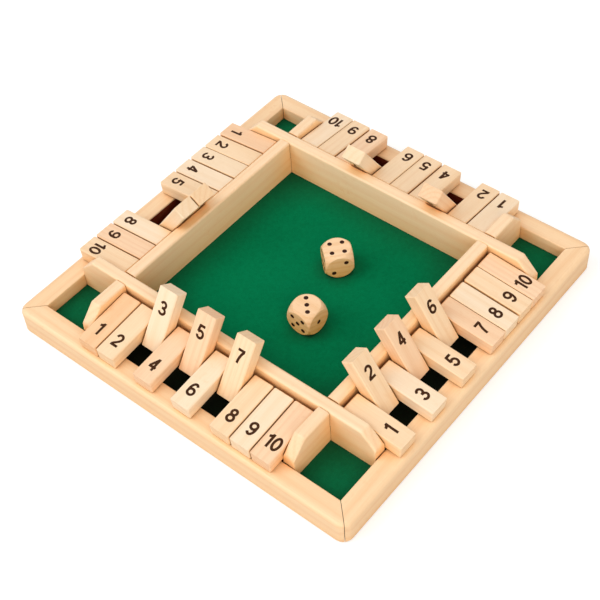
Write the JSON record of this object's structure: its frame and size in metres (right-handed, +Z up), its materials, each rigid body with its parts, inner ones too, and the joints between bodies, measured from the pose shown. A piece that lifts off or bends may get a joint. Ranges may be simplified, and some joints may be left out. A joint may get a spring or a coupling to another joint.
{
  "type": "shut the box game",
  "caption": "Square wooden dice tray lined with felt, with a row of numbered wooden tiles along each side that tip in on a steel rod, and dice.",
  "frame": {"origin": "centre of the square box, at the level of the rails' undersides, on which it stands", "axes": "+Z up; -Y towards the front side; +X towards the right side; rows are numbered 1 to 10 from left to right as read from outside their own side"},
  "size_m": [0.225, 0.225, 0.0468],
  "materials": {
    "rail_wood": "waxed, pale",
    "wall_wood": "waxed, pale",
    "tile_wood": "sanded and waxed, pale",
    "die_wood": "smooth lacquer",
    "plywood": "bare plywood",
    "felt": "short matt nap",
    "steel": "bright drawn rod"
  },
  "bodies": {
    "box": {"rail_front": "rail_wood", "rail_right": "rail_wood", "rail_back": "rail_wood", "rail_left": "rail_wood", "wall_front": "wall_wood", "wall_right": "wall_wood", "wall_back": "wall_wood", "wall_left": "wall_wood", "rod_front": "steel", "rod_right": "steel", "rod_back": "steel", "rod_left": "steel", "base": "plywood", "felt": "felt"},
    "tile_front_01": {"tile_front_01": "tile_wood"},
    "tile_front_02": {"tile_front_02": "tile_wood"},
    "tile_front_03": {"tile_front_03": "tile_wood"},
    "tile_front_04": {"tile_front_04": "tile_wood"},
    "tile_front_05": {"tile_front_05": "tile_wood"},
    "tile_front_06": {"tile_front_06": "tile_wood"},
    "tile_front_07": {"tile_front_07": "tile_wood"},
    "tile_front_08": {"tile_front_08": "tile_wood"},
    "tile_front_09": {"tile_front_09": "tile_wood"},
    "tile_front_10": {"tile_front_10": "tile_wood"},
    "tile_right_01": {"tile_right_01": "tile_wood"},
    "tile_right_02": {"tile_right_02": "tile_wood"},
    "tile_right_03": {"tile_right_03": "tile_wood"},
    "tile_right_04": {"tile_right_04": "tile_wood"},
    "tile_right_05": {"tile_right_05": "tile_wood"},
    "tile_right_06": {"tile_right_06": "tile_wood"},
    "tile_right_07": {"tile_right_07": "tile_wood"},
    "tile_right_08": {"tile_right_08": "tile_wood"},
    "tile_right_09": {"tile_right_09": "tile_wood"},
    "tile_right_10": {"tile_right_10": "tile_wood"},
    "tile_back_01": {"tile_back_01": "tile_wood"},
    "tile_back_02": {"tile_back_02": "tile_wood"},
    "tile_back_03": {"tile_back_03": "tile_wood"},
    "tile_back_04": {"tile_back_04": "tile_wood"},
    "tile_back_05": {"tile_back_05": "tile_wood"},
    "tile_back_06": {"tile_back_06": "tile_wood"},
    "tile_back_07": {"tile_back_07": "tile_wood"},
    "tile_back_08": {"tile_back_08": "tile_wood"},
    "tile_back_09": {"tile_back_09": "tile_wood"},
    "tile_back_10": {"tile_back_10": "tile_wood"},
    "tile_left_01": {"tile_left_01": "tile_wood"},
    "tile_left_02": {"tile_left_02": "tile_wood"},
    "tile_left_03": {"tile_left_03": "tile_wood"},
    "tile_left_04": {"tile_left_04": "tile_wood"},
    "tile_left_05": {"tile_left_05": "tile_wood"},
    "tile_left_06": {"tile_left_06": "tile_wood"},
    "tile_left_07": {"tile_left_07": "tile_wood"},
    "tile_left_08": {"tile_left_08": "tile_wood"},
    "tile_left_09": {"tile_left_09": "tile_wood"},
    "tile_left_10": {"tile_left_10": "tile_wood"},
    "die_near": {"die_near": "die_wood"},
    "die_far": {"die_far": "die_wood"}
  },
  "joints": [
    {"name": "front_01_tip", "type": "hinge", "parent": "box", "child": "tile_front_01", "pos_m": [-0.05895, -0.0827, 0.0222], "axis": [-1, 0, 0], "range_deg": [0, 126.4]},
    {"name": "front_02_tip", "type": "hinge", "parent": "box", "child": "tile_front_02", "pos_m": [-0.04585, -0.0827, 0.0222], "axis": [-1, 0, 0], "range_deg": [0, 130.1]},
    {"name": "front_03_tip", "type": "hinge", "parent": "box", "child": "tile_front_03", "pos_m": [-0.03275, -0.0827, 0.0222], "axis": [-1, 0, 0], "range_deg": [-130.1, 0]},
    {"name": "front_04_tip", "type": "hinge", "parent": "box", "child": "tile_front_04", "pos_m": [-0.01965, -0.0827, 0.0222], "axis": [-1, 0, 0], "range_deg": [0, 130.1]},
    {"name": "front_05_tip", "type": "hinge", "parent": "box", "child": "tile_front_05", "pos_m": [-0.00655, -0.0827, 0.0222], "axis": [-1, 0, 0], "range_deg": [-130.1, 0]},
    {"name": "front_06_tip", "type": "hinge", "parent": "box", "child": "tile_front_06", "pos_m": [0.00655, -0.0827, 0.0222], "axis": [-1, 0, 0], "range_deg": [0, 130.1]},
    {"name": "front_07_tip", "type": "hinge", "parent": "box", "child": "tile_front_07", "pos_m": [0.01965, -0.0827, 0.0222], "axis": [-1, 0, 0], "range_deg": [-130.1, 0]},
    {"name": "front_08_tip", "type": "hinge", "parent": "box", "child": "tile_front_08", "pos_m": [0.03275, -0.0827, 0.0222], "axis": [-1, 0, 0], "range_deg": [0, 130.1]},
    {"name": "front_09_tip", "type": "hinge", "parent": "box", "child": "tile_front_09", "pos_m": [0.04585, -0.0827, 0.0222], "axis": [-1, 0, 0], "range_deg": [0, 130.1]},
    {"name": "front_10_tip", "type": "hinge", "parent": "box", "child": "tile_front_10", "pos_m": [0.05895, -0.0827, 0.0222], "axis": [-1, 0, 0], "range_deg": [0, 126.4]},
    {"name": "right_01_tip", "type": "hinge", "parent": "box", "child": "tile_right_01", "pos_m": [0.0827, -0.05895, 0.0222], "axis": [0, -1, 0], "range_deg": [0, 126.4]},
    {"name": "right_02_tip", "type": "hinge", "parent": "box", "child": "tile_right_02", "pos_m": [0.0827, -0.04585, 0.0222], "axis": [0, -1, 0], "range_deg": [-130.1, 0]},
    {"name": "right_03_tip", "type": "hinge", "parent": "box", "child": "tile_right_03", "pos_m": [0.0827, -0.03275, 0.0222], "axis": [0, -1, 0], "range_deg": [0, 130.1]},
    {"name": "right_04_tip", "type": "hinge", "parent": "box", "child": "tile_right_04", "pos_m": [0.0827, -0.01965, 0.0222], "axis": [0, -1, 0], "range_deg": [-130.1, 0]},
    {"name": "right_05_tip", "type": "hinge", "parent": "box", "child": "tile_right_05", "pos_m": [0.0827, -0.00655, 0.0222], "axis": [0, -1, 0], "range_deg": [0, 130.1]},
    {"name": "right_06_tip", "type": "hinge", "parent": "box", "child": "tile_right_06", "pos_m": [0.0827, 0.00655, 0.0222], "axis": [0, -1, 0], "range_deg": [-130.1, 0]},
    {"name": "right_07_tip", "type": "hinge", "parent": "box", "child": "tile_right_07", "pos_m": [0.0827, 0.01985, 0.0222], "axis": [0, -1, 0], "range_deg": [0, 130.1]},
    {"name": "right_08_tip", "type": "hinge", "parent": "box", "child": "tile_right_08", "pos_m": [0.0827, 0.03255, 0.0222], "axis": [0, -1, 0], "range_deg": [0, 130.1]},
    {"name": "right_09_tip", "type": "hinge", "parent": "box", "child": "tile_right_09", "pos_m": [0.0827, 0.04605, 0.0222], "axis": [0, -1, 0], "range_deg": [0, 130.1]},
    {"name": "right_10_tip", "type": "hinge", "parent": "box", "child": "tile_right_10", "pos_m": [0.0827, 0.05875, 0.0222], "axis": [0, -1, 0], "range_deg": [0, 126.4]},
    {"name": "back_01_tip", "type": "hinge", "parent": "box", "child": "tile_back_01", "pos_m": [0.05895, 0.0827, 0.0222], "axis": [1, 0, 0], "range_deg": [0, 126.4]},
    {"name": "back_02_tip", "type": "hinge", "parent": "box", "child": "tile_back_02", "pos_m": [0.04585, 0.0827, 0.0222], "axis": [1, 0, 0], "range_deg": [0, 130.1]},
    {"name": "back_03_tip", "type": "hinge", "parent": "box", "child": "tile_back_03", "pos_m": [0.03275, 0.0827, 0.0222], "axis": [1, 0, 0], "range_deg": [-130.1, 0]},
    {"name": "back_04_tip", "type": "hinge", "parent": "box", "child": "tile_back_04", "pos_m": [0.01965, 0.0827, 0.0222], "axis": [1, 0, 0], "range_deg": [0, 130.1]},
    {"name": "back_05_tip", "type": "hinge", "parent": "box", "child": "tile_back_05", "pos_m": [0.00635, 0.0827, 0.0222], "axis": [1, 0, 0], "range_deg": [0, 130.1]},
    {"name": "back_06_tip", "type": "hinge", "parent": "box", "child": "tile_back_06", "pos_m": [-0.00635, 0.0827, 0.0222], "axis": [1, 0, 0], "range_deg": [0, 130.1]},
    {"name": "back_07_tip", "type": "hinge", "parent": "box", "child": "tile_back_07", "pos_m": [-0.01965, 0.0827, 0.0222], "axis": [1, 0, 0], "range_deg": [-130.1, 0]},
    {"name": "back_08_tip", "type": "hinge", "parent": "box", "child": "tile_back_08", "pos_m": [-0.03275, 0.0827, 0.0222], "axis": [1, 0, 0], "range_deg": [0, 130.1]},
    {"name": "back_09_tip", "type": "hinge", "parent": "box", "child": "tile_back_09", "pos_m": [-0.04605, 0.0827, 0.0222], "axis": [1, 0, 0], "range_deg": [0, 130.1]},
    {"name": "back_10_tip", "type": "hinge", "parent": "box", "child": "tile_back_10", "pos_m": [-0.05875, 0.0827, 0.0222], "axis": [1, 0, 0], "range_deg": [0, 126.4]},
    {"name": "left_01_tip", "type": "hinge", "parent": "box", "child": "tile_left_01", "pos_m": [-0.0827, 0.05895, 0.0222], "axis": [0, 1, 0], "range_deg": [0, 126.4]},
    {"name": "left_02_tip", "type": "hinge", "parent": "box", "child": "tile_left_02", "pos_m": [-0.0827, 0.04565, 0.0222], "axis": [0, 1, 0], "range_deg": [0, 130.1]},
    {"name": "left_03_tip", "type": "hinge", "parent": "box", "child": "tile_left_03", "pos_m": [-0.0827, 0.03295, 0.0222], "axis": [0, 1, 0], "range_deg": [0, 130.1]},
    {"name": "left_04_tip", "type": "hinge", "parent": "box", "child": "tile_left_04", "pos_m": [-0.0827, 0.01965, 0.0222], "axis": [0, 1, 0], "range_deg": [0, 130.1]},
    {"name": "left_05_tip", "type": "hinge", "parent": "box", "child": "tile_left_05", "pos_m": [-0.0827, 0.00655, 0.0222], "axis": [0, 1, 0], "range_deg": [0, 130.1]},
    {"name": "left_06_tip", "type": "hinge", "parent": "box", "child": "tile_left_06", "pos_m": [-0.0827, -0.00655, 0.0222], "axis": [0, 1, 0], "range_deg": [-130.1, 0]},
    {"name": "left_07_tip", "type": "hinge", "parent": "box", "child": "tile_left_07", "pos_m": [-0.0827, -0.01965, 0.0222], "axis": [0, 1, 0], "range_deg": [-130.1, 0]},
    {"name": "left_08_tip", "type": "hinge", "parent": "box", "child": "tile_left_08", "pos_m": [-0.0827, -0.03275, 0.0222], "axis": [0, 1, 0], "range_deg": [0, 130.1]},
    {"name": "left_09_tip", "type": "hinge", "parent": "box", "child": "tile_left_09", "pos_m": [-0.0827, -0.04585, 0.0222], "axis": [0, 1, 0], "range_deg": [0, 130.1]},
    {"name": "left_10_tip", "type": "hinge", "parent": "box", "child": "tile_left_10", "pos_m": [-0.0827, -0.05895, 0.0222], "axis": [0, 1, 0], "range_deg": [0, 126.4]},
    {"name": "die_near_lift", "type": "slide", "parent": "box", "child": "die_near", "axis": [0, 0, 1], "range_m": [0, 0.08]},
    {"name": "die_far_lift", "type": "slide", "parent": "box", "child": "die_far", "axis": [0, 0, 1], "range_m": [0, 0.08]}
  ]
}
